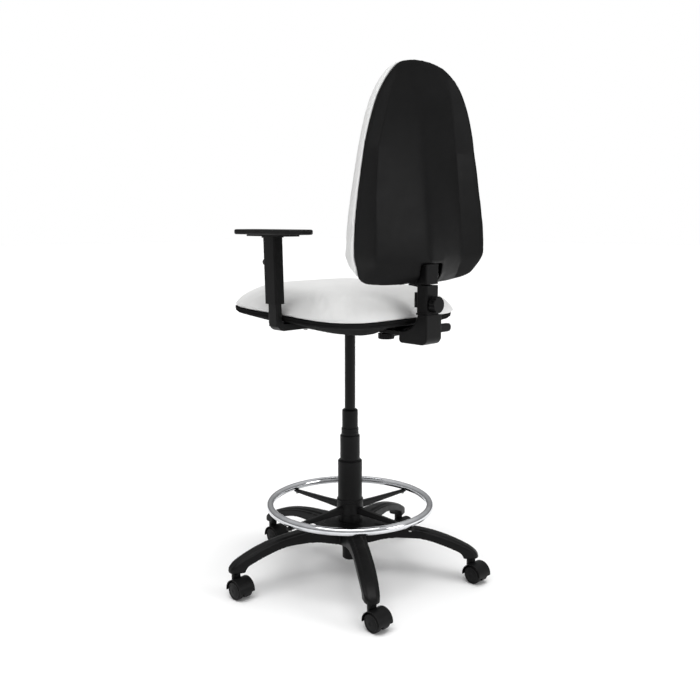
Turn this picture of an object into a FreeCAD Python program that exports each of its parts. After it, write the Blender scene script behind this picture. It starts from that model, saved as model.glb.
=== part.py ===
import FreeCAD, Part
import math
import os

from FreeCAD import Vector

# Drafting chair, all sizes in millimetres. Origin on the floor under the
# column, +Z up, the sitter faces -Y, the sitter's left is +X.

os.makedirs("parts", exist_ok=True)

# Star base
armCount = 5
casterCircle = 327.5          # radius from column axis to each caster stem
armBottom = 64.0              # underside of the caster boss
armHubHalf = 31.0             # half width of an arm where it meets the hub
armMidHalf = 22.8
armEndHalf = 19.6
spineHalf = 12.0              # half width of the raised spine
spineRise = 3.5
hubRadius = 37.0
hubBottom = 88.0
hubTop = 150.0
saucerRadius = 71.0

# Gas spring and column
tubeRadius = 24.0
tubeFootRadius = 20.5
tubeFoot = 42.0
tubeTop = 388.0
tubeWall = 2.0
lowerCoverRadius = 32.5
lowerCoverTop = 319.0
middleCoverRadius = 26.4
collarRadius = 22.9
collarTop = 407.0
bushRadius = 21.0
bushTop = 457.0
rodRadius = 14.0
rodTop = 690.0
rodFoot = 304.0
rodFit = 0.05
pistonGap = 0.3

# Footring
ringRadius = 215.0
ringTube = 10.0
ringTubeWall = 1.6
ringHeight = 196.0
footHubRadius = 35.5
footHubBottom = 172.0
footHubTop = 212.0
spokeCount = 4

# Casters
wheelRadius = 24.0
wheelWidth = 14.5
casterTrail = 18.0
webHalf = 8.0
wheelGap = 0.5
hoodRadius = 29.0
hoodWall = 2.0
hoodHalf = 23.4
axleRadius = 4.0
axleFit = 0.05
stemRadius = 5.5
stemFit = 0.05

# Seat
seatWidth = 480.0
seatDepth = 460.0
seatCentreY = -14.0
seatCorner = 105.0            # front corners
seatRearCorner = 122.0
shellRear = 16.0               # more rear corner radius on shell and board
seatLevel = 725.0             # line between cushion and shell at mid depth
seatTilt = -2.5               # front edge raised
seatThick = 61.0              # cushion above the line
shellWall = 3.0
panDeep = -50.0              # lowest part of the shell, from the seat line
boardThick = 12.0
boardUnder = 13.0             # board underside below the seat line

# Mechanism
mechHalf = 50.0
mechFront = -105.0
mechRear = 122.0
mechDeep = 50.0               # bottom of the mechanism below the seat line
pivotY = 70.0
pivotZ = 680.0
pinRadius = 6.0
pinFit = 0.05
barHalf = 18.0
barThick = 8.0
barY = 248.0                  # front face of the upright part of the bar
barTop = 905.0
barBottom = 676.0
elbowHalf = 29.0
elbowFront = 196.0
elbowRear = 284.0
elbowBottom = 658.0
elbowTop = 730.0
stemHalf = 22.5
stemFront = 246.0
stemRear = 278.0
stemTop = 800.0
backKnobRadius = 20.0
backKnobZ = 755.0
tensionRadius = 20.5
tensionY = 129.0
leverSpots = [-45.0, 104.0]
leverZ = 661.0
leverRadius = 4.0
leverFit = 0.05
leverTipX = -287.0

# Backrest
backTop = 1321.0
backBottom = 802.0
backWide = 244.5
backWideZ = 880.0
backWall = 4.0
backSeamY = 250.0
backBandFront = 224.0
backFrontY = 181.0
boardFrontY = 212.0
boardRearY = 222.0
boardInset = 24.0             # from the edge of the back
carriageBottom = 803.0
carriageTop = 915.0
slideGap = 0.3

# Arms
armGap = 18.0                 # from the side of the seat to the post's middle
armX = seatWidth / 2 + armGap
armY = 6.0
armLean = 1.5                 # degrees outward
sleeveY = 21.5                # half length of the sleeve section
sleeveX = 14.0
sleeveBottom = 756.0
padBottom = 917.0
padTop = 932.0
padLength = 230.0
padWidth = 80.0
postY = 15.5
postX = 9.0
footBottom = 690.0
footInner = 118.0
boltSpots = [footInner + 14, footInner + 44]
buttonRadius = 7.5
buttonShift = 4.0             # from the middle of the post, outward
buttonZ = 855.0
buttonTravel = 2.0
buttonProud = 6.0

casterNames = ["front", "left_front", "left_rear", "right_rear", "right_front"]


def save(shape, name):
    shape.exportStep("parts/" + name + ".step")
    print(name, "valid" if shape.isValid() else "NOT VALID", len(shape.Solids))


def box(x0, x1, y0, y1, z0, z1):
    return Part.makeBox(x1 - x0, y1 - y0, z1 - z0, Vector(x0, y0, z0))


def rod(radius, length, base, axis=Vector(0, 0, 1)):
    return Part.makeCylinder(radius, length, base, axis)


def turned(points):
    """Body of revolution about Z from (radius, height) points."""
    wire = Part.makePolygon([Vector(r, 0, z) for r, z in points + points[:1]])
    return Part.Face(wire).revolve(Vector(0, 0, 0), Vector(0, 0, 1), 360)


def roundOver(shape, radius, pick):
    edges = [e for e in shape.Edges if pick(e)]
    return shape.makeFillet(radius, edges)


def uprightEdge(edge):
    box0 = edge.BoundBox
    return box0.XLength < 0.01 and box0.YLength < 0.01 and box0.ZLength > 1.0


def roundedBlock(x0, x1, y0, y1, z0, z1, radius, edgeRadius=0.0):
    body = box(x0, x1, y0, y1, z0, z1)
    body = roundOver(body, radius, uprightEdge)
    if edgeRadius > 0:
        body = roundOver(body, edgeRadius, lambda e: e.BoundBox.ZLength < 0.01)
    return body


def spline(points):
    curve = Part.BSplineCurve()
    curve.interpolate(points)
    return curve.toShape()


def roundedRect(halfX, halfY, corner, centre, z, rearCorner=None):
    """Closed outline with rounded corners at one height."""
    rear = corner if rearCorner is None else rearCorner
    k = 1 - math.sqrt(0.5)
    corners = [(1, 1, rear), (-1, 1, rear), (-1, -1, corner), (1, -1, corner)]
    arcs = []
    for sx, sy, c in corners:
        x = centre.x + sx * halfX
        y = centre.y + sy * halfY
        alongX = Vector(x - sx * c, y, z)
        alongY = Vector(x, y - sy * c, z)
        mid = Vector(x - sx * c * k, y - sy * c * k, z)
        if sx * sy > 0:
            arcs.append((alongY, mid, alongX))
        else:
            arcs.append((alongX, mid, alongY))
    edges = []
    for i, arc in enumerate(arcs):
        edges.append(Part.Arc(*arc).toShape())
        edges.append(Part.makeLine(arc[2], arcs[(i + 1) % 4][0]))
    return Part.Wire(edges)


def tilted(shape):
    """Turn a seat piece from level to the seat's tilt."""
    result = shape.copy()
    result.rotate(Vector(0, seatCentreY, seatLevel), Vector(1, 0, 0), seatTilt)
    return result


# ---------------------------------------------------------------- star base
def armSide(drop, bottomDrop):
    """Side view of one arm, along +X, as a face in the XZ plane."""
    top = [(30, 146), (90, 146), (150, 142.5), (200, 136), (250, 124),
           (300, 105.5), (330, 89.5), (343, 77), (347.8, 64)]
    under = [(30, 94), (60, 99), (100, 109), (145, 113.5), (200, 112),
             (250, 99), (285, 86), (303, 75.5), (308, 64)]
    topPoints = [Vector(r, 0, z - drop) for r, z in top]
    underPoints = [Vector(r, 0, z - bottomDrop) for r, z in under]
    edges = [spline(topPoints),
             Part.makeLine(topPoints[-1], underPoints[-1]),
             spline(underPoints[::-1]),
             Part.makeLine(underPoints[0], topPoints[0])]
    return Part.Face(Part.Wire(edges))


def armPlan(inset, z0, z1):
    """Plan outline of one arm, along +X, as a tall block."""
    end = armEndHalf - inset
    hub = armHubHalf - inset
    mid = armMidHalf - inset
    left = spline([Vector(25, hub + 6, z0), Vector(70, hub - 2, z0),
                   Vector(200, mid, z0), Vector(casterCircle, end, z0)])
    tip = Part.Arc(Vector(casterCircle, end, z0),
                   Vector(casterCircle + end, 0, z0),
                   Vector(casterCircle, -end, z0)).toShape()
    right = spline([Vector(casterCircle, -end, z0), Vector(200, -mid, z0),
                    Vector(70, -hub + 2, z0), Vector(25, -hub - 6, z0)])
    close = Part.makeLine(Vector(25, -hub - 6, z0), Vector(25, hub + 6, z0))
    face = Part.Face(Part.Wire([left, tip, right, close]))
    return face.extrude(Vector(0, 0, z1 - z0))


def baseArm():
    wide = armSide(spineRise, 0).extrude(Vector(0, 160, 0))
    wide.translate(Vector(0, -80, 0))
    wide = wide.common(armPlan(0, armBottom, 200))
    spine = armSide(0, 0).extrude(Vector(0, 2 * spineHalf, 0))
    spine.translate(Vector(0, -spineHalf, 0))
    spine = spine.common(armPlan(0, 0, 200))
    arm = wide.fuse(spine)
    # underside pocket with a central rib
    pocket = armSide(9, 4).common(box(45, 296, -1, 1, 0, 200))
    pocket = pocket.extrude(Vector(0, 160, 0))
    pocket.translate(Vector(0, -80, 0))
    pocket = pocket.common(armPlan(4, 0, 200))
    pocket = pocket.cut(box(40, 300, -1.5, 1.5, 0, 200))
    for rib in range(4):
        at = 95.0 + 50.0 * rib
        pocket = pocket.cut(box(at - 1.2, at + 1.2, -60, 60, 0, 200))
    return arm.cut(pocket)


def starBase():
    hub = turned([(0, hubBottom), (hubRadius - 7, hubBottom),
                  (hubRadius - 4, hubBottom + 3), (hubRadius, 128),
                  (52, 136), (saucerRadius - 2, 141), (saucerRadius, 144),
                  (saucerRadius - 3, 146.5), (hubRadius + 4, hubTop - 1.5),
                  (hubRadius + 1, hubTop), (0, hubTop)])
    body = hub
    for k in range(armCount):
        arm = baseArm()
        arm.rotate(Vector(0, 0, 0), Vector(0, 0, 1), -90 + 72 * k)
        body = body.fuse(arm)
    cone = tubeOutside()
    body = body.cut(cone)
    for k in range(armCount):
        x, y = casterAt(k)
        body = body.cut(rod(stemRadius, 17, Vector(x, y, armBottom - 1)))
    return body.removeSplitter()


def casterAt(k):
    angle = math.radians(-90 + 72 * k)
    return casterCircle * math.cos(angle), casterCircle * math.sin(angle)


# ------------------------------------------------------------------- column
def tubeOutside():
    return turned([(0, tubeFoot), (tubeFootRadius - 3, tubeFoot),
                   (tubeFootRadius, tubeFoot + 3), (tubeFootRadius, 62),
                   (tubeRadius, 130), (tubeRadius, tubeTop), (0, tubeTop)])


def gasTube():
    bore = tubeRadius - tubeWall
    hollow = turned([(0, tubeFoot + 6), (tubeFootRadius - 3, tubeFoot + 6),
                     (tubeFootRadius - 3, 62), (bore - 0.5, 126),
                     (bore, 132), (bore, tubeTop), (0, tubeTop)])
    return tubeOutside().cut(hollow)


def lowerCover():
    return turned([(tubeRadius, hubTop), (lowerCoverRadius, hubTop),
                   (lowerCoverRadius, lowerCoverTop - 3),
                   (lowerCoverRadius - 3, lowerCoverTop),
                   (tubeRadius, lowerCoverTop)])


def middleCover():
    return turned([(tubeRadius, lowerCoverTop),
                   (middleCoverRadius, lowerCoverTop),
                   (middleCoverRadius, tubeTop - 2.5),
                   (middleCoverRadius - 2, tubeTop),
                   (tubeRadius, tubeTop)])


def columnCollar():
    z0 = tubeTop
    lines = [(bushRadius, z0), (collarRadius, z0), (collarRadius, z0 + 8),
             (collarRadius - 0.8, z0 + 8.6), (collarRadius - 0.8, z0 + 10.4),
             (collarRadius, z0 + 11), (collarRadius, collarTop - 1),
             (collarRadius - 1, collarTop), (bushRadius, collarTop)]
    return turned(lines)


def guideBush():
    bore = rodRadius + rodFit
    return turned([(bore, tubeTop - 22),
                   (tubeRadius - tubeWall, tubeTop - 22),
                   (tubeRadius - tubeWall, tubeTop), (bushRadius, tubeTop),
                   (bushRadius, bushTop - 3), (bushRadius - 3, bushTop),
                   (bore, bushTop)])


def gasRod():
    piston = tubeRadius - tubeWall - pistonGap
    return turned([(0, rodFoot), (piston - 1, rodFoot),
                   (piston, rodFoot + 1), (piston, rodFoot + 19),
                   (piston - 1, rodFoot + 20), (rodRadius, rodFoot + 20),
                   (rodRadius, 648), (rodRadius - 0.8, rodTop - 5),
                   (rodRadius - 2, rodTop - 3), (4, rodTop - 3),
                   (4, rodTop), (0, rodTop)])


# ----------------------------------------------------------------- footring
def footSpoke(angle):
    near = [(28, 8.0, 174.5, 193.5), (36, 8.0, 174.5, 193.5)]
    far = [(90, 6.2, 175.5, 190.5), (205, 4.6, 176.5, 186.0),
           (ringRadius + 9, 4.4, 177.0, 186.0)]
    wires = []
    for r, half, low, high in near + far:
        corner = Vector(r, 0, (low + high) / 2)
        wire = roundedRect(half, (high - low) / 2, 2.5, Vector(0, 0, 0), 0)
        wire.rotate(Vector(0, 0, 0), Vector(1, 0, 0), 90)
        wire.rotate(Vector(0, 0, 0), Vector(0, 0, 1), 90)
        wire.translate(corner)
        wires.append(wire)
    spoke = Part.makeLoft(wires, True, True)
    spoke = spoke.cut(ringOutside())
    spoke = spoke.cut(rod(2.5, 20, Vector(ringRadius, 0, 170)))
    spoke.rotate(Vector(0, 0, 0), Vector(0, 0, 1), angle)
    return spoke


def ringOutside():
    return Part.makeTorus(ringRadius, ringTube, Vector(0, 0, ringHeight))


def footHub():
    body = turned([(lowerCoverRadius - 2, footHubBottom),
                   (footHubRadius - 1.5, footHubBottom),
                   (footHubRadius, footHubBottom + 1.5),
                   (footHubRadius, footHubTop - 8),
                   (footHubRadius - 0.8, footHubTop - 7.4),
                   (footHubRadius - 0.8, footHubTop - 5.6),
                   (footHubRadius, footHubTop - 5),
                   (footHubRadius, footHubTop - 1.5),
                   (footHubRadius - 1.5, footHubTop),
                   (lowerCoverRadius - 2, footHubTop)])
    for k in range(spokeCount):
        body = body.fuse(footSpoke(90.0 * k))
    return body.cut(rod(lowerCoverRadius, 80, Vector(0, 0, 150)))


def footRing():
    inner = Part.makeTorus(ringRadius, ringTube - ringTubeWall,
                           Vector(0, 0, ringHeight))
    ring = ringOutside().cut(inner)
    for k in range(spokeCount):
        hole = rod(2.5, 10, Vector(ringRadius, 0, ringHeight - 12))
        hole.rotate(Vector(0, 0, 0), Vector(0, 0, 1), 90 * k)
        ring = ring.cut(hole)
    return ring


def footScrews():
    screws = []
    for k in range(spokeCount):
        screw = turned([(0, 173.5), (3.5, 173.5), (4.5, 174.5), (4.5, 176.4),
                        (2.5, 176.4), (2.5, 190), (0, 190)])
        screw = screw.cut(hexSocket(2.0, 172, 2.5))
        screw.translate(Vector(ringRadius, 0, 0))
        screw.rotate(Vector(0, 0, 0), Vector(0, 0, 1), 90 * k)
        screws.append(screw)
    return Part.makeCompound(screws)


def hexSocket(across, z, depth):
    points = []
    for i in range(7):
        angle = math.radians(60 * i)
        points.append(Vector(across * math.cos(angle),
                             across * math.sin(angle), z))
    return Part.Face(Part.makePolygon(points)).extrude(Vector(0, 0, depth))


# ------------------------------------------------------------------ casters
def casterHousing():
    across = Vector(1, 0, 0)
    axle = Vector(0, casterTrail, wheelRadius)
    hood = rod(hoodRadius, 2 * hoodHalf, axle - across * hoodHalf, across)
    inside = rod(hoodRadius - hoodWall, 60, axle - across * 30, across)
    hood = hood.cut(inside)
    hood = hood.cut(box(-40, 40, -40, 60, -10, 21))
    web = rod(hoodRadius - 1, 2 * webHalf, axle - across * webHalf, across)
    web = web.cut(box(-40, 40, -40, 60, -10, 13))
    neck = rod(11.5, 26, Vector(0, 0, 35))
    neck = neck.cut(rod(hoodRadius - 0.5, 60, axle - across * 30, across))
    body = hood.fuse([web, neck])
    body = body.cut(rod(stemRadius + stemFit, 40, Vector(0, 0, 33.5)))
    body = body.cut(rod(axleRadius, 60, axle - across * 30, across))
    return body.removeSplitter()


def casterWheel(side):
    across = Vector(1, 0, 0)
    r = wheelRadius
    w = wheelWidth
    bore = axleRadius + axleFit
    wire = Part.makePolygon([
        Vector(0, bore, 0), Vector(0, r - 1.5, 0), Vector(1.5, r, 0),
        Vector(w - 4, r, 0), Vector(w - 1.5, r - 1.8, 0),
        Vector(w - 0.6, r - 4.5, 0), Vector(w - 1.4, r - 6, 0),
        Vector(w, 8, 0), Vector(w, bore, 0), Vector(0, bore, 0)])
    wheel = Part.Face(wire).revolve(Vector(0, 0, 0), across, 360)
    if side < 0:
        wheel.rotate(Vector(0, 0, 0), Vector(0, 0, 1), 180)
    wheel.translate(Vector(side * (webHalf + wheelGap), casterTrail, r))
    return wheel


def casterAxle():
    half = webHalf + wheelGap + wheelWidth - 0.5
    return rod(axleRadius, 2 * half, Vector(-half, casterTrail, wheelRadius),
               Vector(1, 0, 0))


def casterStem():
    return turned([(0, 34), (stemRadius - 1, 34), (stemRadius, 35),
                   (stemRadius, 61.4), (8, 61.4), (8, armBottom),
                   (stemRadius, armBottom), (stemRadius, 79),
                   (stemRadius - 1, 80), (0, 80)])


# --------------------------------------------------------------------- seat
def seatOutline(inset, height, shift=0.0, rear=0.0):
    """Seat outline drawn in by inset, moved back by shift; rear adds to the
    rear corner radius."""
    return roundedRect(seatWidth / 2 - inset, seatDepth / 2 - inset,
                       seatCorner - 0.6 * inset,
                       Vector(0, seatCentreY + shift, 0),
                       seatLevel + height,
                       seatRearCorner + rear - 0.6 * inset)


def seatLoft(rows, ruled, rear=0.0):
    return Part.makeLoft([seatOutline(*row, rear=rear) for row in rows],
                         True, ruled)


def seatShell():
    rim = seatLoft([(0, 0), (0, -4), (1.6, -5.2), (1.6, -6.8), (0.6, -8),
                    (5, -12.5), (16, -16)], True, shellRear)
    pan = seatLoft([(16, -16), (50, -27, 12), (100, -41, 29),
                    (150, panDeep, 46)], True, shellRear)
    shell = rim.fuse(pan)
    t = shellWall
    hollow = seatLoft([(t, 1), (t + 1.6, -9), (16 + t, -13.5)], True,
                      shellRear)
    inner = [(16 + t, -13.5), (50 + t, -24, 12), (100 + t, -38, 29),
             (150 + t, panDeep + t, 46)]
    hollow = hollow.fuse(seatLoft(inner, True, shellRear))
    shell = shell.cut(hollow)
    z = seatLevel
    shell = shell.cut(box(-62, 62, -118, 192, z - 80, z - 10))
    shell = tilted(shell)
    # side openings for the arm feet
    for side in (-1, 1):
        x0, x1 = sorted([side * (footInner - 4), side * 260])
        shell = shell.cut(box(x0, x1, armY - postY - 3, armY + postY + 3,
                              footBottom - 3, 708))
        for x in boltSpots:
            shell = shell.cut(rod(7, 30, Vector(side * x, armY, 664)))
    return shell


def seatBoard():
    board = seatLoft([(22, -boardUnder), (22, boardThick - boardUnder)], True,
                     shellRear)
    for x, y in boardScrewSpots():
        board = board.cut(rod(3, 20, Vector(x, y, seatLevel - boardUnder - 2)))
    board = tilted(board)
    for side in (-1, 1):
        for x in boltSpots:
            board = board.cut(rod(3, 26, Vector(side * x, armY, 698)))
    return board


def boardScrewSpots():
    return [(x, y) for x in (-66, 66) for y in (-92, 92)]


def boardScrews():
    screws = []
    for x, y in boardScrewSpots():
        z = seatLevel - boardUnder
        screw = turned([(0, z - 9), (4, z - 9), (5.5, z - 7.5), (5.5, z - 3),
                        (3, z - 3), (3, z + 10), (0, z + 10)])
        screw = screw.cut(hexSocket(2.6, z - 10, 3.5))
        screw.translate(Vector(x, y, 0))
        screws.append(tilted(screw))
    return Part.makeCompound(screws)


def seatCushion():
    rows = [(2, 0.3), (0.5, 8), (4, 18), (15, 31), (40, 45.5), (80, 56),
            (130, seatThick)]
    cushion = seatLoft(rows, False)
    base = seatLoft([(14, boardThick - boardUnder), (14, 0.3)], True,
                    shellRear)
    return tilted(cushion.fuse(base))


# ---------------------------------------------------------------- mechanism
def mechanism():
    z = seatLevel
    top = z - boardUnder
    plate = roundedBlock(-80, 80, mechFront, mechRear, top - 3, top, 10)
    shell = box(-mechHalf, mechHalf, mechFront + 6, mechRear - 6,
                z - mechDeep, top - 3)
    shell = roundOver(shell, 6, lambda e: e.BoundBox.ZLength < 0.01
                      and e.BoundBox.ZMax < z - mechDeep + 1)
    wall = 3.0
    room = box(-mechHalf + wall, mechHalf - wall, 40, mechRear,
               z - mechDeep - 5, top - 4)
    room = room.fuse(box(-mechHalf + wall, mechHalf - wall,
                         mechFront + 9, -34, z - mechDeep + 3, top - 4))
    body = plate.fuse(shell).cut(room)
    for x, y in boardScrewSpots():
        body = body.cut(rod(3, 20, Vector(x, y, top - 15)))
    body = tilted(body)
    for y in leverSpots:
        lug = box(-mechHalf, -mechHalf + 8, y - 9, y + 9, leverZ, 690)
        lug = lug.fuse(rod(9, 8, Vector(-mechHalf, y, leverZ),
                           Vector(1, 0, 0)))
        body = body.fuse(lug)
    body = body.cut(gasRodSocket())
    across = Vector(1, 0, 0)
    body = body.cut(rod(pinRadius, 120, Vector(-60, pivotY, pivotZ), across))
    for y in leverSpots:
        body = body.cut(rod(leverRadius + leverFit, 80,
                            Vector(-80, y, leverZ), across))
    return body


def gasRodSocket():
    return turned([(0, 600), (rodRadius, 600), (rodRadius, 648),
                   (rodRadius - 0.8, rodTop - 5), (rodRadius - 0.8, rodTop + 3),
                   (0, rodTop + 3)])


def lever(y):
    """Round steel lever with a flat paddle handle, pointing to -X."""
    across = Vector(-1, 0, 0)
    inner = -(mechHalf - 14)
    shaft = rod(leverRadius, abs(leverTipX) - 20 + inner,
                Vector(inner, y, leverZ), across)
    head = rod(leverRadius + 3, 6, Vector(inner + 6, y, leverZ), across)
    return shaft.fuse(head)


def leverHandle(y):
    """Flat paddle on edge, with a round end."""
    x0 = leverTipX
    x1 = x0 + 80
    body = box(x0, x1, y - 6.5, y + 6.5, leverZ - 11.5, leverZ + 11.5)
    ends = [e for e in body.Edges if e.BoundBox.YLength > 5
            and e.BoundBox.XMax < x0 + 0.1]
    body = body.makeFillet(11, ends)
    body = roundOver(body, 3, lambda e: e.BoundBox.YLength < 0.01)
    hole = rod(leverRadius, 80, Vector(x0 + 20, y, leverZ), Vector(1, 0, 0))
    return body.cut(hole)


def pivotPin():
    return rod(pinRadius, 2 * mechHalf, Vector(-mechHalf, pivotY, pivotZ),
               Vector(1, 0, 0))


def backBar():
    bend = 26.0
    y0 = barY
    y1 = barY + barThick
    z0 = barBottom
    z1 = barBottom + barThick
    k = math.sqrt(0.5)
    outer = bend
    inner = bend - barThick
    edges = [
        Part.makeLine(Vector(0, pivotY, z0), Vector(0, y1 - outer, z0)),
        Part.Arc(Vector(0, y1 - outer, z0),
                 Vector(0, y1 - outer + outer * k, z0 + outer - outer * k),
                 Vector(0, y1, z0 + outer)).toShape(),
        Part.makeLine(Vector(0, y1, z0 + outer), Vector(0, y1, barTop)),
        Part.makeLine(Vector(0, y1, barTop), Vector(0, y0, barTop)),
        Part.makeLine(Vector(0, y0, barTop), Vector(0, y0, z0 + outer)),
        Part.Arc(Vector(0, y0, z0 + outer),
                 Vector(0, y1 - outer + inner * k, z1 + inner - inner * k),
                 Vector(0, y1 - outer, z1)).toShape(),
        Part.makeLine(Vector(0, y1 - outer, z1), Vector(0, pivotY, z1)),
        Part.makeLine(Vector(0, pivotY, z1), Vector(0, pivotY, z0))]
    bar = Part.Face(Part.Wire(edges)).extrude(Vector(2 * barHalf, 0, 0))
    bar.translate(Vector(-barHalf, 0, 0))
    across = Vector(1, 0, 0)
    eye = rod(12, 92, Vector(-46, pivotY, pivotZ), across)
    bar = bar.fuse(eye)
    bar = bar.cut(rod(pinRadius + pinFit, 120, Vector(-60, pivotY, pivotZ),
                      across))
    bar = bar.cut(rod(4, 30, Vector(0, tensionY, barBottom - 5)))
    return bar.cut(rod(4, 40, Vector(0, barY - 10, backKnobZ),
                       Vector(0, 1, 0)))


def barSolid():
    """Space the bar takes up inside the covers."""
    flat = box(-barHalf, barHalf, 60, barY + barThick, barBottom,
               barBottom + barThick)
    upright = box(-barHalf, barHalf, barY, barY + barThick, barBottom,
                  barTop + 100)
    corner = box(-barHalf, barHalf, barY - 18, barY, barBottom, barBottom + 26)
    return flat.fuse([upright, corner])


def elbowCover():
    """L-shaped cover round the bend of the back bar."""
    y0, y1, z0, z1 = elbowFront, elbowRear, elbowBottom, elbowTop
    x = -elbowHalf

    def arc(a, b, c):
        return Part.Arc(Vector(x, *a), Vector(x, *b), Vector(x, *c)).toShape()

    def line(a, b):
        return Part.makeLine(Vector(x, *a), Vector(x, *b))
    edges = [line((y0 + 9, z0), (y1 - 18, z0)),
             arc((y1 - 18, z0), (y1 - 5.27, z0 + 5.27), (y1, z0 + 18)),
             line((y1, z0 + 18), (y1, z1)),
             line((y1, z1), (y1 - 30, z1)),
             arc((y1 - 30, z1), (y0 + 45, 704.5), (y0, 690)),
             line((y0, 690), (y0, z0 + 9)),
             arc((y0, z0 + 9), (y0 + 2.64, z0 + 2.64), (y0 + 9, z0))]
    body = Part.Face(Part.Wire(edges)).extrude(Vector(2 * elbowHalf, 0, 0))
    body = roundOver(body, 4, lambda e: e.BoundBox.XLength < 0.01
                     and e.BoundBox.ZMin < z1 - 0.1)
    room = box(x + 4, -x - 4, barY + barThick, y1 - 4, barBottom + 14, z1 + 5)
    return body.cut(room).cut(barSolid())


def stemCover():
    body = roundedBlock(-stemHalf, stemHalf, stemFront, stemRear,
                        elbowTop, stemTop, 5)
    rim = roundedBlock(-stemHalf - 2, stemHalf + 2, stemFront - 2,
                       stemRear + 2, elbowTop, elbowTop + 4, 6)
    block = roundedBlock(-16, stemHalf - 2, stemFront - 9, stemFront + 2,
                         747, 783, 3)
    body = body.fuse([rim, block])
    hole = rod(4, 60, Vector(0, stemFront - 20, backKnobZ), Vector(0, 1, 0))
    return body.cut(barSolid()).cut(hole)


def lobedKnob(radius, thick, lobes, shaft, shaftLength):
    """Knob with its face up at z = 0..thick and its screw below."""
    body = rod(radius, thick, Vector(0, 0, 0))
    body = roundOver(body, 2.5, lambda e: e.BoundBox.ZMin > thick - 0.1)
    for i in range(lobes):
        angle = 2 * math.pi * i / lobes
        far = radius + 3.2
        cutter = rod(5.2, thick + 2, Vector(far * math.cos(angle),
                                            far * math.sin(angle), -1))
        body = body.cut(cutter)
    neck = rod(shaft + 4, 3, Vector(0, 0, -3))
    screw = rod(shaft, shaftLength, Vector(0, 0, -shaftLength))
    return body.fuse([neck, screw])


def backKnob():
    knob = lobedKnob(backKnobRadius, 17, 8, 4 - rodFit, 44)
    knob.rotate(Vector(0, 0, 0), Vector(1, 0, 0), -90)
    knob.translate(Vector(0, stemRear + 3.3, backKnobZ))
    return knob


def tensionKnob():
    knob = lobedKnob(tensionRadius, 14, 10, 4 - rodFit, 26)
    knob.rotate(Vector(0, 0, 0), Vector(1, 0, 0), 180)
    knob.translate(Vector(0, tensionY, barBottom - 3.3))
    return knob


# ----------------------------------------------------------------- backrest
backMid = (backTop + backBottom) / 2


def backOutline(inset, y):
    """Closed outline of the back at one depth, drawn in smaller by inset."""
    kx = 1 - inset / backWide
    kz = 1 - inset / ((backTop - backBottom) / 2)

    def at(x, z):
        return Vector(x * kx, y, backMid + (z - backMid) * kz)
    side = [(backWide, 884), (238, 954), (220.5, 1046), (199, 1138),
            (165.5, 1228), (134, 1273), (97, 1302), (50, 1317), (0, backTop)]
    right = spline([at(x, z) for x, z in side]
                   + [at(-x, z) for x, z in side[-2::-1]])
    lowRight = spline([at(-backWide, 884), at(-242, 862), at(-225, 838),
                       at(-190, 815), at(-150, 806.5), at(-80, backBottom + 1),
                       at(0, backBottom), at(80, backBottom + 1),
                       at(150, 806.5), at(190, 815), at(225, 838),
                       at(242, 862), at(backWide, 884)])
    return Part.Wire([right, lowRight])


def backSection(z, creaseX, creaseY, midY, wingX, wingY, push, closeY):
    """One level of the folded back: wings, two valleys and a centre ridge."""
    slope = (wingY - creaseY) / (wingX - creaseX)
    farX = 275.0
    farY = creaseY + slope * (farX - creaseX)
    front = [(farX, farY), (creaseX, creaseY), (0, midY),
             (-creaseX, creaseY), (-farX, farY)]
    points = [Vector(x, y - push, z) for x, y in front]
    if closeY is None:
        points += [Vector(x, y - push - backWall, z) for x, y in front[::-1]]
    else:
        points += [Vector(-farX, closeY, z), Vector(farX, closeY, z)]
    return Part.makePolygon(points + points[:1])


backLevels = [(795, 150, 215, 246, 240, 227), (822, 155, 229, 267, 240, 242),
              (856, 157, 239.5, 271.5, 243, 253),
              (902, 156, 238, 270, 243, 253),
              (1023, 150, 233, 256.5, 225, 249.5),
              (1116, 141, 230, 245.5, 205, 248),
              (1228, 113, 237, 238.5, 165, 249),
              (1340, 70, 243, 240, 120, 257)]


def backLoft(push, closeY):
    wires = [backSection(*level, push, closeY) for level in backLevels]
    return Part.makeLoft(wires, True, True)


def backShell():
    block = Part.Face(backOutline(0, 180)).extrude(Vector(0, 140, 0))
    shell = backLoft(0, None).common(block)
    return shell.cut(roundedSlot(-62, 27, 780, 851)).removeSplitter()


def roundedSlot(x0, x1, z0, z1):
    """Opening round the carriage, wider towards the clamp knob."""
    slot = box(x0, x1, 225, 320, z0, z1)
    return slot.makeFillet(8, [e for e in slot.Edges
                               if e.BoundBox.YLength > 50
                               and e.BoundBox.ZMin > z1 - 1])


def backCushion():
    rows = [(0, backSeamY + 16), (0, 236), (3, backBandFront), (14, 212),
            (45, 195), (90, 185.5), (140, backFrontY)]
    wires = [backOutline(inset, y) for inset, y in rows]
    blank = Part.makeLoft(wires, True, False)
    blank = blank.cut(backLoft(backWall, 320))
    pocket = Part.Face(backOutline(boardInset, boardFrontY)).extrude(
        Vector(0, boardRearY - boardFrontY, 0))
    hollow = Part.Face(backOutline(16, boardRearY)).extrude(Vector(0, 80, 0))
    room = box(-stemHalf - 3, stemHalf + 3, boardRearY, 320, 780, 850)
    return blank.cut([pocket, hollow, room])


def backBoard():
    board = Part.Face(backOutline(boardInset, boardFrontY)).extrude(
        Vector(0, boardRearY - boardFrontY, 0))
    for x, z in backScrewSpots():
        board = board.cut(rod(2.5, 20, Vector(x, boardFrontY - 5, z),
                              Vector(0, 1, 0)))
    return board


def backScrewSpots():
    return [(x, z) for x in (-40, 40) for z in (842, 900)]


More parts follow.
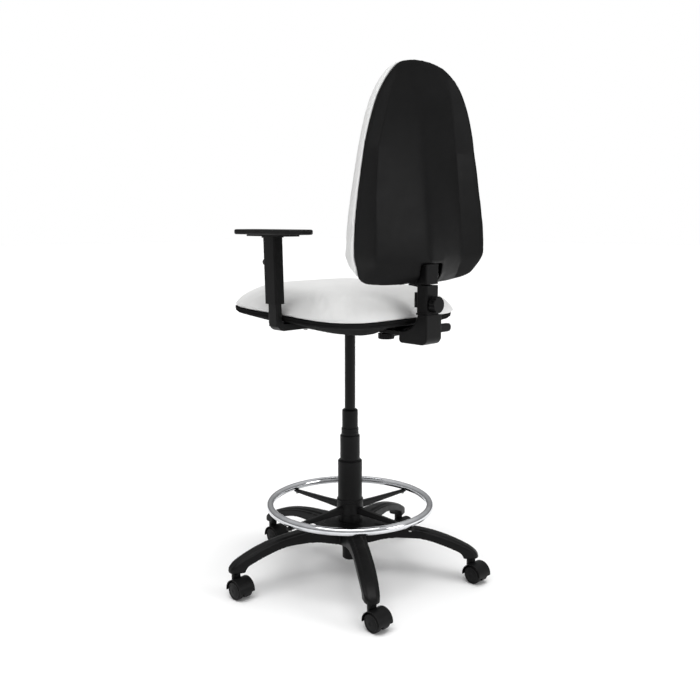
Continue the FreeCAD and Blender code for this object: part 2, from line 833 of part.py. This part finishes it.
def backCarriage():
    plate = box(-96, 96, boardRearY, boardRearY + 4, carriageBottom + 17,
                carriageTop)
    post = roundedBlock(-stemHalf, stemHalf, boardRearY, stemRear - 1,
                        carriageBottom, 850, 4)
    post = post.fuse(roundedBlock(-stemHalf, stemHalf, boardRearY,
                                  barY + barThick + 2.8, 840, carriageTop,
                                  2.5))
    body = plate.fuse(post)
    g = slideGap
    body = body.cut(box(-barHalf - g, barHalf + g, barY - g,
                        barY + barThick + g, 790, 940))
    for x, z in backScrewSpots():
        body = body.cut(rod(2.5, 30, Vector(x, boardRearY - 5, z),
                            Vector(0, 1, 0)))
    return body


def backScrews():
    screws = []
    for x, z in backScrewSpots():
        screw = turned([(0, 0), (2.5, 0), (2.5, 10), (5, 10), (5, 12),
                        (3.8, 13.6), (0, 13.6)])
        screw = screw.cut(hexSocket(2.0, 11.2, 4))
        screw.rotate(Vector(0, 0, 0), Vector(1, 0, 0), -90)
        screw.translate(Vector(x, boardRearY + 4 - 10, z))
        screws.append(screw)
    return Part.makeCompound(screws)


# --------------------------------------------------------------------- arms
def leaned(shape):
    result = shape.copy()
    result.rotate(Vector(armX, 0, footBottom), Vector(0, 1, 0), armLean)
    result.translate(Vector(0, armY, 0))
    return result


def mirrored(shape):
    return shape.mirror(Vector(0, 0, 0), Vector(1, 0, 0))


def armBracket():
    post = roundedBlock(armX - postX, armX + postX, -postY, postY,
                        footBottom + 12, padBottom - 26, 3)
    post = leaned(post)
    bend = 24.0
    k = math.sqrt(0.5)
    x1 = armX + postX
    z0 = footBottom
    z1 = footBottom + 16
    edges = [
        Part.makeLine(Vector(footInner, 0, z0), Vector(x1 - bend, 0, z0)),
        Part.Arc(Vector(x1 - bend, 0, z0),
                 Vector(x1 - bend + bend * k, 0, z0 + bend - bend * k),
                 Vector(x1, 0, z0 + bend)).toShape(),
        Part.makeLine(Vector(x1, 0, z0 + bend),
                      Vector(x1 - 2 * postX, 0, z0 + bend)),
        Part.Arc(Vector(x1 - 2 * postX, 0, z0 + bend),
                 Vector(x1 - 2 * postX - 2.5, 0, z1 + 2.5),
                 Vector(x1 - 2 * postX - 8, 0, z1)).toShape(),
        Part.makeLine(Vector(x1 - 2 * postX - 8, 0, z1),
                      Vector(footInner, 0, z1)),
        Part.makeLine(Vector(footInner, 0, z1), Vector(footInner, 0, z0))]
    foot = Part.Face(Part.Wire(edges)).extrude(Vector(0, 2 * postY, 0))
    foot.translate(Vector(0, armY - postY, 0))
    body = foot.fuse(post)
    above = tilted(box(0, 236, -60, 60, seatLevel - boardUnder,
                       seatLevel + 40))
    body = body.cut(above)
    for x in boltSpots:
        body = body.cut(rod(3, 40, Vector(x, armY, footBottom - 5)))
    # notches for the height catch, facing the button
    for i in range(6):
        notch = rod(3.2, 6, Vector(armX, 4 - postY, 807 + 12 * i),
                    Vector(0, -1, 0))
        body = body.cut(leaned(notch))
    return body


def armSleeve():
    body = roundedBlock(armX - sleeveX, armX + sleeveX, -sleeveY, sleeveY,
                        sleeveBottom, padBottom, 5)
    flare = roundedBlock(armX - sleeveX - 3, armX + sleeveX + 3,
                         -sleeveY - 4, sleeveY + 4, padBottom - 4,
                         padBottom, 8)
    body = body.fuse(flare)
    g = slideGap
    room = box(armX - postX - g, armX + postX + g, -postY - g, postY + g,
               sleeveBottom - 5, padBottom - 8)
    body = body.cut(room)
    hole = rod(buttonRadius + g, 20, Vector(armX + buttonShift, 2 - postY, buttonZ),
               Vector(0, -1, 0))
    return leaned(body.cut(hole))


def armButton():
    inner = postY + buttonTravel + 0.4
    outer = sleeveY + buttonProud
    button = rod(buttonRadius, outer - inner, Vector(armX + buttonShift, -inner, buttonZ),
                 Vector(0, -1, 0))
    button = roundOver(button, 1.2, lambda e: e.BoundBox.YMax < 0.1 - outer)
    return leaned(button)


def armPad():
    half = padLength / 2
    low = padBottom
    body = box(armX - padWidth / 2, armX + padWidth / 2, -half, half,
               low + 3, padTop)
    body = roundOver(body, 30, uprightEdge)
    body = roundOver(body, 4, lambda e: e.BoundBox.ZLength < 0.01)
    body = body.fuse(roundedBlock(armX - 29, armX + 29, -76, 76, low - 1,
                                  low + 6, 22))
    shift = math.tan(math.radians(armLean)) * (padBottom - footBottom)
    under = tiltSpace()
    body.translate(Vector(shift, armY, 0))
    return body.cut(under)


def tiltSpace():
    return leaned(box(armX - 60, armX + 60, -60, 60, padBottom - 20,
                      padBottom))


def armBolts():
    bolts = []
    for x in boltSpots + [-x for x in boltSpots]:
        z = footBottom
        bolt = turned([(0, z - 6), (4, z - 6), (5.5, z - 4.5), (5.5, z),
                       (3, z), (3, z + 22), (0, z + 22)])
        bolt = bolt.cut(hexSocket(2.6, z - 7, 3.5))
        bolt.translate(Vector(x, armY, 0))
        bolts.append(bolt)
    return Part.makeCompound(bolts)


# ------------------------------------------------------------------- output
save(starBase(), "star_base")
save(gasTube(), "gas_spring_tube")
save(lowerCover(), "lower_column_cover")
save(middleCover(), "middle_column_cover")
save(columnCollar(), "column_collar")
save(guideBush(), "rod_guide_bush")
save(gasRod(), "gas_spring_rod")
save(footHub(), "footring_hub")
save(footRing(), "footring")
save(footScrews(), "footring_screws")

stems = []
for k, place in enumerate(casterNames):
    x, y = casterAt(k)
    spot = Vector(x, y, 0)
    pieces = {"housing": casterHousing(), "axle": casterAxle(),
              "wheel_left": casterWheel(1), "wheel_right": casterWheel(-1)}
    for piece, shape in pieces.items():
        shape.translate(spot)
        save(shape, "caster_" + place + "_" + piece)
    stem = casterStem()
    stem.translate(spot)
    stems.append(stem)
save(Part.makeCompound(stems), "caster_stems")

save(seatShell(), "seat_shell")
save(seatBoard(), "seat_board")
save(boardScrews(), "seat_board_screws")
save(seatCushion(), "seat_cushion")
save(mechanism(), "seat_mechanism")
save(pivotPin(), "back_pivot_pin")
save(lever(leverSpots[0]), "height_lever")
save(leverHandle(leverSpots[0]), "height_lever_handle")
save(lever(leverSpots[1]), "tilt_lever")
save(leverHandle(leverSpots[1]), "tilt_lever_handle")

save(backBar(), "back_bar")
save(tensionKnob(), "tension_knob")
save(elbowCover(), "back_elbow_cover")
save(stemCover(), "back_stem_cover")
save(backKnob(), "back_clamp_knob")
save(backCarriage(), "back_carriage")
save(backBoard(), "back_board")
save(backScrews(), "back_screws")
save(backShell(), "back_shell")
save(backCushion(), "back_cushion")

save(armBolts(), "arm_bracket_bolts")
for side in ("left", "right"):
    pieces = {"bracket": armBracket(), "sleeve": armSleeve(),
              "button": armButton(), "pad": armPad()}
    for piece, shape in pieces.items():
        if side == "right":
            shape = mirrored(shape)
        save(shape, "arm_" + side + "_" + piece)
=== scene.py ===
import math

import bpy
import numpy as np
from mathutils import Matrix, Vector


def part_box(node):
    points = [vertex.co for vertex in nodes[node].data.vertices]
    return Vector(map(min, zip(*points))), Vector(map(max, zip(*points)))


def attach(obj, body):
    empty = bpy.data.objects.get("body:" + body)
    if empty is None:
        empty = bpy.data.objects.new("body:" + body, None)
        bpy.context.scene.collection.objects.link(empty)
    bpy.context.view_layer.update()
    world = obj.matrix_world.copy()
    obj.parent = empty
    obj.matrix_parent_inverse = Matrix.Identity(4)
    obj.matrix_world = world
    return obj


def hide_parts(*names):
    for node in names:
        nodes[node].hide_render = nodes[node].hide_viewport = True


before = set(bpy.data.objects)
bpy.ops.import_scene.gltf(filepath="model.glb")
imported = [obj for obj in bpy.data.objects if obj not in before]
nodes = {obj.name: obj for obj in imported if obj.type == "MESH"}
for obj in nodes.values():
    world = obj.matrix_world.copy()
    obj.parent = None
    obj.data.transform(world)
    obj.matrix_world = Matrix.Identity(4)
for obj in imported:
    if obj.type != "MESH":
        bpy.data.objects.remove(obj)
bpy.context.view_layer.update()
bpy.context.scene.view_settings.view_transform = "Standard"
print("frame loaded:", len(nodes), "nodes")


# small helpers for meshes

def deselectAll():
    if bpy.context.object and bpy.context.object.mode != "OBJECT":
        bpy.ops.object.mode_set(mode="OBJECT")
    bpy.ops.object.select_all(action="DESELECT")


def makeActive(piece):
    deselectAll()
    piece.select_set(True)
    bpy.context.view_layer.objects.active = piece


def copyOfNode(nodeName, pieceName):
    # the copy has its own mesh with the loose triangles joined up
    piece = bpy.data.objects.new(pieceName, nodes[nodeName].data.copy())
    bpy.context.scene.collection.objects.link(piece)
    makeActive(piece)
    bpy.ops.object.mode_set(mode="EDIT")
    bpy.ops.mesh.select_all(action="SELECT")
    bpy.ops.mesh.remove_doubles(threshold=0.00001)
    bpy.ops.object.mode_set(mode="OBJECT")
    if piece.data.has_custom_normals:
        bpy.ops.mesh.customdata_custom_splitnormals_clear()
    piece.data.materials.clear()
    return piece


def applyModifier(piece, kind, **settings):
    makeActive(piece)
    modifier = piece.modifiers.new(kind.lower(), kind)
    for key, value in settings.items():
        setattr(modifier, key, value)
    bpy.ops.object.modifier_apply(modifier=modifier.name)


def evenCopy(nodeName, pieceName, voxel):
    # an even mesh, laid back on the surface of the node it copies
    piece = copyOfNode(nodeName, pieceName)
    surface = copyOfNode(nodeName, pieceName + "Surface")
    applyModifier(piece, "REMESH", mode="VOXEL", voxel_size=voxel)
    applyModifier(piece, "SHRINKWRAP", target=surface,
                  wrap_method="NEAREST_SURFACEPOINT")
    bpy.data.objects.remove(surface)
    return piece


def pointsOf(piece):
    flat = np.zeros(len(piece.data.vertices) * 3)
    piece.data.vertices.foreach_get("co", flat)
    return flat.reshape(-1, 3)


def setPoints(piece, points):
    piece.data.vertices.foreach_set("co", points.ravel())
    piece.data.update()


def normalsOf(piece):
    flat = np.zeros(len(piece.data.vertices) * 3)
    piece.data.vertices.foreach_get("normal", flat)
    return flat.reshape(-1, 3)


def weightGroup(piece, name, weights):
    group = piece.vertex_groups.new(name=name)
    for index, weight in enumerate(weights):
        if weight > 0.001:
            group.add([index], float(weight), "REPLACE")
    return group.name


def ramp(values, start, end):
    share = np.clip((values - start) / (end - start), 0, 1)
    return share * share * (3 - 2 * share)


# small helpers for materials

def startMaterial(name):
    material = bpy.data.materials.new(name)
    material.use_nodes = True
    tree = material.node_tree
    shader = tree.nodes["Principled BSDF"]
    place = tree.nodes.new("ShaderNodeTexCoord").outputs["Object"]
    return material, tree, shader, place


def noise(tree, place, scale, detail=3.0, roughness=0.5):
    node = tree.nodes.new("ShaderNodeTexNoise")
    node.inputs["Scale"].default_value = scale
    node.inputs["Detail"].default_value = detail
    node.inputs["Roughness"].default_value = roughness
    tree.links.new(place, node.inputs["Vector"])
    return node.outputs["Fac"]


def between(tree, value, low, high, fromLow=0.3, fromHigh=0.7):
    node = tree.nodes.new("ShaderNodeMapRange")
    node.inputs["From Min"].default_value = fromLow
    node.inputs["From Max"].default_value = fromHigh
    node.inputs["To Min"].default_value = low
    node.inputs["To Max"].default_value = high
    tree.links.new(value, node.inputs["Value"])
    return node.outputs["Result"]


def mixColours(tree, share, first, second):
    node = tree.nodes.new("ShaderNodeMix")
    node.data_type = "RGBA"
    node.inputs["A"].default_value = (*first, 1)
    node.inputs["B"].default_value = (*second, 1)
    tree.links.new(share, node.inputs["Factor"])
    return node.outputs["Result"]


def bump(tree, height, strength, distance, below=None):
    node = tree.nodes.new("ShaderNodeBump")
    node.inputs["Strength"].default_value = strength
    node.inputs["Distance"].default_value = distance
    tree.links.new(height, node.inputs["Height"])
    if below is not None:
        tree.links.new(below, node.inputs["Normal"])
    return node.outputs["Normal"]


mouldedBlacks = {
    "nylon": {"dark": (0.0035, 0.0035, 0.0036), "light": (0.006, 0.006, 0.0062),
              "rough": (0.36, 0.47), "grain": 1100, "grainDepth": 0.00005,
              "sink": 26, "specular": 0.13},
    "plastic": {"dark": (0.003, 0.003, 0.0031), "light": (0.0052, 0.0052, 0.0054),
                "rough": (0.30, 0.40), "grain": 1500, "grainDepth": 0.00002,
                "sink": 14, "specular": 0.11},
    "padSkin": {"dark": (0.004, 0.004, 0.004), "light": (0.008, 0.008, 0.008),
                "rough": (0.50, 0.64), "grain": 700, "grainDepth": 0.00010,
                "sink": 20, "specular": 0.14},
    "panPlastic": {"dark": (0.008, 0.008, 0.008), "light": (0.013, 0.013, 0.013),
                   "rough": (0.78, 0.92), "grain": 900, "grainDepth": 0.00005,
                   "sink": 14, "specular": 0.02},
    "shellPlastic": {"dark": (0.0045, 0.0045, 0.0046),
                     "light": (0.0065, 0.0065, 0.0067),
                     "rough": (0.34, 0.42), "grain": 900,
                     "grainDepth": 0.00002, "sink": 9, "specular": 0.07},
    "powderCoat": {"dark": (0.003, 0.003, 0.003), "light": (0.0055, 0.0055, 0.0055),
                   "rough": (0.32, 0.44), "grain": 2200,
                   "grainDepth": 0.00004, "sink": 40, "specular": 0.14},
}


def mouldedBlack(name):
    look = mouldedBlacks[name]
    material, tree, shader, place = startMaterial(name)
    cloud = noise(tree, place, 9, 4, 0.6)
    shade = mixColours(tree, between(tree, cloud, 0, 1), look["dark"],
                       look["light"])
    tree.links.new(shade, shader.inputs["Base Color"])
    smear = noise(tree, place, 38, 5, 0.65)
    tree.links.new(between(tree, smear, *look["rough"]),
                   shader.inputs["Roughness"])
    shader.inputs["Specular IOR Level"].default_value = look["specular"]
    flow = bump(tree, noise(tree, place, look["sink"], 1), 0.25, 0.0012)
    grain = bump(tree, noise(tree, place, look["grain"], 2), 0.5,
                 look["grainDepth"], flow)
    tree.links.new(grain, shader.inputs["Normal"])
    return material


chromePlate = {"bright": (0.74, 0.75, 0.77), "dull": (0.56, 0.57, 0.59),
               "rough": (0.07, 0.16), "scuffs": 240}


def chromeMaterial(name, look):
    material, tree, shader, place = startMaterial(name)
    shader.inputs["Metallic"].default_value = 1.0
    haze = noise(tree, place, 17, 4, 0.6)
    tree.links.new(mixColours(tree, between(tree, haze, 0, 1, 0.35, 0.75),
                              look["bright"], look["dull"]),
                   shader.inputs["Base Color"])
    scuffs = noise(tree, place, look["scuffs"], 6, 0.7)
    tree.links.new(between(tree, scuffs, *look["rough"], 0.45, 0.7),
                   shader.inputs["Roughness"])
    tree.links.new(bump(tree, noise(tree, place, 30, 2), 0.12, 0.0008),
                   shader.inputs["Normal"])
    return material


zincPlate = {"bright": (0.56, 0.56, 0.55), "dull": (0.40, 0.40, 0.39),
             "rough": (0.28, 0.45), "scuffs": 500}

# near-black plywood tones: the grain is the board's own, the near-black colour is
# painted shade for the shadow the boards sit in between the shells
paintedShadePly = {"pale": (0.022, 0.018, 0.015), "dark": (0.009, 0.008, 0.007)}


def plywoodMaterial(name, look):
    material, tree, shader, place = startMaterial(name)
    stretch = tree.nodes.new("ShaderNodeMapping")
    stretch.inputs["Scale"].default_value = (12, 260, 260)
    tree.links.new(place, stretch.inputs["Vector"])
    grain = noise(tree, stretch.outputs["Vector"], 1, 6, 0.6)
    tree.links.new(mixColours(tree, between(tree, grain, 0, 1), look["pale"],
                              look["dark"]), shader.inputs["Base Color"])
    tree.links.new(between(tree, grain, 0.55, 0.75),
                   shader.inputs["Roughness"])
    tree.links.new(bump(tree, grain, 0.4, 0.0003), shader.inputs["Normal"])
    return material


cushionCover = {"white": (0.735, 0.735, 0.73), "grey": (0.68, 0.68, 0.675),
                "thread": 0.0009, "rough": (0.72, 0.86), "sheen": 0.12}


def coverMaterial(name, look):
    material, tree, shader, place = startMaterial(name)
    shader.inputs["Sheen Weight"].default_value = look["sheen"]
    shader.inputs["Sheen Roughness"].default_value = 0.45
    shader.inputs["Specular IOR Level"].default_value = 0.25
    turn = 2 * math.pi / look["thread"]
    split = tree.nodes.new("ShaderNodeSeparateXYZ")
    tree.links.new(place, split.inputs["Vector"])
    threads = None
    for axis in "XYZ":
        # a fine even weave made from one ripple along each axis
        scaled = tree.nodes.new("ShaderNodeMath")
        scaled.operation = "MULTIPLY"
        scaled.inputs[1].default_value = turn
        tree.links.new(split.outputs[axis], scaled.inputs[0])
        ripple = tree.nodes.new("ShaderNodeMath")
        ripple.operation = "SINE"
        tree.links.new(scaled.outputs[0], ripple.inputs[0])
        if threads is None:
            threads = ripple.outputs[0]
        else:
            total = tree.nodes.new("ShaderNodeMath")
            total.operation = "ADD"
            tree.links.new(threads, total.inputs[0])
            tree.links.new(ripple.outputs[0], total.inputs[1])
            threads = total.outputs[0]
    cloud = noise(tree, place, 7, 4, 0.6)
    tree.links.new(mixColours(tree, between(tree, cloud, 0, 1, 0.4, 0.8),
                              look["white"], look["grey"]),
                   shader.inputs["Base Color"])
    fuzz = noise(tree, place, 900, 3, 0.6)
    tree.links.new(between(tree, fuzz, *look["rough"]),
                   shader.inputs["Roughness"])
    weave = bump(tree, threads, 0.22, 0.00012)
    tree.links.new(bump(tree, fuzz, 0.2, 0.00015, weave),
                   shader.inputs["Normal"])
    return material


finishes = {
    "black_nylon": mouldedBlack("nylon"),
    "black_plastic": mouldedBlack("plastic"),
    "arm_pad_foam": mouldedBlack("padSkin"),
    "black_steel": mouldedBlack("powderCoat"),
    "chrome": chromeMaterial("chromePlate", chromePlate),
    "zinc_steel": chromeMaterial("zincPlate", zincPlate),
    "plywood": plywoodMaterial("paintedShadePly", paintedShadePly),
    "upholstery": coverMaterial("cushionCover", cushionCover),
}
slotOfNode = {}
# some nodes have their own finish within their slot
panFinish = mouldedBlack("panPlastic")
ownFinish = {"seat_shell": panFinish, "back_shell": mouldedBlack("shellPlastic"),
             "seat_mechanism": panFinish}
for nodeName in nodes:
    if nodeName.endswith("_axle"):
        ownFinish[nodeName] = finishes["black_nylon"]


def finishOf(nodeName):
    return ownFinish.get(nodeName) or finishes[slotOfNode[nodeName]]


for nodeName, node in nodes.items():
    slotOfNode[nodeName] = node.data.materials[0].name.split(".")[0]
    node.data.materials.clear()
    node.data.materials.append(finishOf(nodeName))
print("finishes made")


def finishPiece(piece, body, nodeName):
    # the piece takes the node's finish, rides on its body and stands for it
    piece.data.materials.clear()
    piece.data.materials.append(finishOf(nodeName))
    makeActive(piece)
    bpy.ops.object.shade_smooth()
    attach(piece, body)
    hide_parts(nodeName)


def soften(piece, rounds, free, strength=0.5):
    # each point moves toward the middle of its neighbours, as far as it is free
    points = pointsOf(piece)
    pairs = np.zeros(len(piece.data.edges) * 2, dtype=np.int64)
    piece.data.edges.foreach_get("vertices", pairs)
    first, second = pairs.reshape(-1, 2).T
    size = len(points)
    count = np.maximum(np.bincount(pairs, minlength=size), 1)
    for step in range(rounds):
        for axis in range(3):
            value = points[:, axis]
            total = (np.bincount(first, value[second], size)
                     + np.bincount(second, value[first], size))
            points[:, axis] = value + strength * free * (total / count - value)
    setPoints(piece, points)


# back shell: the moulding's ridges are soft, its rim and slot stay crisp

backShellSizes = {"voxel": 0.0018, "evening": 2, "softening": 260,
                  "rim": (0.017, 0.032),
                  "slot": (-0.062, 0.780, 0.027, 0.851),
                  "aroundSlot": (0.004, 0.022), "keptFaces": 0.5}


def makeBackShell(sizes):
    shell = evenCopy("back_shell", "backShell", sizes["voxel"])
    soften(shell, sizes["evening"], 1)
    points = pointsOf(shell)
    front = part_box("back_shell")[0].y
    left, bottom, right, top = sizes["slot"]
    aside = np.maximum(left - points[:, 0], points[:, 0] - right)
    above = np.maximum(bottom - points[:, 2], points[:, 2] - top)
    gap = np.hypot(np.maximum(aside, 0), np.maximum(above, 0))
    free = (ramp(points[:, 1] - front, *sizes["rim"])
            * ramp(gap, *sizes["aroundSlot"]))
    soften(shell, sizes["softening"], free)
    applyModifier(shell, "DECIMATE", ratio=sizes["keptFaces"])
    finishPiece(shell, "backrest", "back_shell")
    return shell


makeBackShell(backShellSizes)
print("back shell made")


# star base: the moulded nylon has no hard edge

starSizes = {"voxel": 0.0022, "softening": 5}


def makeStar(sizes):
    star = evenCopy("star_base", "starBase", sizes["voxel"])
    soften(star, sizes["softening"], 1)
    finishPiece(star, "base", "star_base")
    return star


makeStar(starSizes)
print("star base made")


# cushions: foam under a stretched cover, swollen by a short cloth run

seatPad = {"voxel": 0.0042, "start": -0.0005, "pressure": 4.0, "frames": 20,
           "cap": 0.006, "held": 0.010,
           "rimHeight": 0.725, "tipBack": 2.5, "edge": 0.002, "fill": 0.85}
backPad = {"voxel": 0.0045, "start": -0.0005, "pressure": 4.0, "frames": 20,
           "cap": 0.005, "held": 0.012,
           "edge": 0.002, "fill": 0.85}
coverCloth = {"mass": 0.3, "tension": 18, "compression": 10, "shear": 8,
              "bending": 1.2, "quality": 4}


def swell(piece, look, heldWeights):
    # pressure pushes the cover out, and cap limits how far a point moves
    scene = bpy.context.scene
    before = pointsOf(piece)
    group = weightGroup(piece, "held", heldWeights)
    makeActive(piece)
    modifier = piece.modifiers.new("cover", "CLOTH")
    cloth = modifier.settings
    cloth.quality = coverCloth["quality"]
    cloth.mass = coverCloth["mass"]
    cloth.tension_stiffness = coverCloth["tension"]
    cloth.compression_stiffness = coverCloth["compression"]
    cloth.shear_stiffness = coverCloth["shear"]
    cloth.bending_stiffness = coverCloth["bending"]
    cloth.use_pressure = True
    cloth.uniform_pressure_force = look["pressure"]
    cloth.vertex_group_mass = group
    cloth.effector_weights.gravity = 0
    modifier.collision_settings.use_collision = False
    modifier.point_cache.frame_start = 1
    modifier.point_cache.frame_end = look["frames"]
    for step in range(1, look["frames"] + 1):
        scene.frame_set(step)
    bpy.ops.object.modifier_apply(modifier=modifier.name)
    scene.frame_set(1)
    after = pointsOf(piece)
    move = after - before
    length = np.linalg.norm(move, axis=1, keepdims=True)
    limit = look["cap"] * (1 - np.exp(-length / look["cap"]))
    setPoints(piece, before + move * limit / np.maximum(length, 1e-9))


def makePad(nodeName, pieceName, body, look, heldOf):
    pad = evenCopy(nodeName, pieceName, look["voxel"])
    applyModifier(pad, "SMOOTH", factor=0.5, iterations=8)
    setPoints(pad, pointsOf(pad) + normalsOf(pad) * look["start"])
    swell(pad, look, heldOf(pointsOf(pad)))
    applyModifier(pad, "SMOOTH", factor=0.5, iterations=4)
    applyModifier(pad, "SUBSURF", levels=1, render_levels=1)
    pad.vertex_groups.clear()
    finishPiece(pad, body, nodeName)
    return pad


def seatHeld(points):
    # the rim of the shell, tipped back with the seat
    low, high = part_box("seat_shell")
    tip = math.radians(seatPad["tipBack"])
    middle = (low.y + high.y) / 2
    rim = seatPad["rimHeight"] - (points[:, 1] - middle) * math.tan(tip)
    edge = seatPad["edge"]
    return 1 - ramp(points[:, 2] - rim, edge, edge + seatPad["held"])


def backHeld(points):
    low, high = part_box("back_cushion")
    seam = high.y - backPad["edge"]
    return ramp(points[:, 1], seam - 2 * backPad["held"],
                seam - backPad["held"])


makePad("seat_cushion", "seatPad", "seat", seatPad, seatHeld)
print("seat cushion made")
makePad("back_cushion", "backPad", "backrest", backPad, backHeld)
print("back cushion made")


# floor, light and camera

studio = {"floorSize": 60.0, "floorShade": 0.95, "skyLow": 0.16,
          "skyHigh": 0.80, "skyToCamera": 1.0, "sunPower": 2.0,
          "sunSpread": 50.0, "sunFrom": (0.15, 0.1, 1.0),
          "lights": [("tallRear", (-1.3, 3.9, 1.9), (0, 0, 0.9), 1.7, 48)]}


def makeStudio(look):
    deselectAll()
    bpy.ops.mesh.primitive_plane_add(size=look["floorSize"], location=(0, 0, 0))
    floor = bpy.context.object
    floor.name = "studioFloor"
    material, tree, shader, place = startMaterial("paleFloor")
    shader.inputs["Roughness"].default_value = 0.9
    shader.inputs["Specular IOR Level"].default_value = 0.1
    tone = [look["floorShade"]] * 3
    mottle = between(tree, noise(tree, place, 3), 0, 1)
    tree.links.new(mixColours(tree, mottle, tone, [v * 0.99 for v in tone]),
                   shader.inputs["Base Color"])
    floor.data.materials.append(material)
    world = bpy.data.worlds.new("studioSky")
    bpy.context.scene.world = world
    world.use_nodes = True
    tree = world.node_tree
    sky = tree.nodes["Background"]
    sky.inputs["Color"].default_value = (1, 1, 1, 1)
    rays = tree.nodes.new("ShaderNodeLightPath").outputs["Is Camera Ray"]
    direction = tree.nodes.new("ShaderNodeTexCoord").outputs["Generated"]
    split = tree.nodes.new("ShaderNodeSeparateXYZ")
    tree.links.new(direction, split.inputs["Vector"])
    glow = between(tree, split.outputs["Z"], look["skyLow"], look["skyHigh"],
                   0, 1)
    choice = tree.nodes.new("ShaderNodeMix")
    choice.inputs["B"].default_value = look["skyToCamera"]
    tree.links.new(rays, choice.inputs["Factor"])
    tree.links.new(glow, choice.inputs["A"])
    tree.links.new(choice.outputs["Result"], sky.inputs["Strength"])
    sunData = bpy.data.lights.new("softSun", "SUN")
    sunData.energy = look["sunPower"]
    sunData.angle = math.radians(look["sunSpread"])
    sun = bpy.data.objects.new("softSun", sunData)
    bpy.context.scene.collection.objects.link(sun)
    sun.rotation_euler = Vector(look["sunFrom"]).to_track_quat("Z", "Y").to_euler()
    for name, place, aim, size, power in look["lights"]:
        data = bpy.data.lights.new(name, "AREA")
        data.size = size
        data.energy = power
        lamp = bpy.data.objects.new(name, data)
        bpy.context.scene.collection.objects.link(lamp)
        lamp.location = place
        toward = Vector(aim) - Vector(place)
        lamp.rotation_euler = toward.to_track_quat("-Z", "Y").to_euler()


viewpoint = {"place": (1.556, 1.556, 0.952), "aim": (0, 0, 0.6155),
             "angle": 45.0}


def makeCamera(look):
    data = bpy.data.cameras.new("camera")
    data.angle = math.radians(look["angle"])
    data.clip_end = 100
    camera = bpy.data.objects.new("camera", data)
    bpy.context.scene.collection.objects.link(camera)
    camera.location = look["place"]
    toward = Vector(look["aim"]) - Vector(look["place"])
    camera.rotation_euler = toward.to_track_quat("-Z", "Y").to_euler()
    bpy.context.scene.camera = camera


makeStudio(studio)
makeCamera(viewpoint)
print("studio made")
